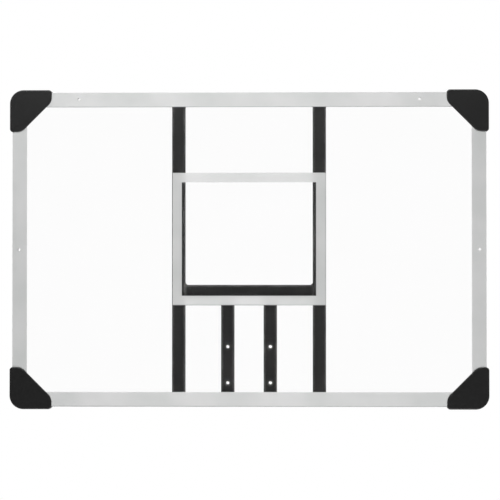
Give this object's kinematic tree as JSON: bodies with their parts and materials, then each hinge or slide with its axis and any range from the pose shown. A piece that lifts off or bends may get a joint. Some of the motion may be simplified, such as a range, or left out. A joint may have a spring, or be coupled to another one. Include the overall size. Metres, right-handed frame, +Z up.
{
  "type": "basketball backboard",
  "caption": "Clear rectangular basketball backboard with a silver border and target square, on a welded black tube frame with moulded corner caps, bored for a hoop and for fixing to a wall.",
  "frame": {"origin": "middle of the board on the plane of the frame's back, midway between the two side fixing holes", "axes": "+X along the board to the right as a player sees it, +Y from the play side towards the wall, +Z up"},
  "size_m": [0.9, 0.0255, 0.6],
  "materials": {
    "clear_sheet": "clear acrylic",
    "silver_marking": "satin silver",
    "black_steel": "black powder coat",
    "black_cap": "moulded satin",
    "zinc_screw": "zinc plated"
  },
  "bodies": {
    "root": {"backboard_panel": "clear_sheet", "silver_border": "silver_marking", "silver_target": "silver_marking", "frame_left_half": "black_steel", "frame_right_half": "black_steel", "left_upright": "black_steel", "right_upright": "black_steel", "crossbar": "black_steel", "left_hoop_post": "black_steel", "right_hoop_post": "black_steel", "upright_welds": "black_steel", "crossbar_welds": "black_steel", "hoop_post_welds": "black_steel", "frame_seam_welds": "black_steel", "corner_cap_top_left": "black_cap", "corner_cap_top_right": "black_cap", "corner_cap_bottom_left": "black_cap", "corner_cap_bottom_right": "black_cap", "cap_screws": "zinc_screw"}
  },
  "joints": []
}
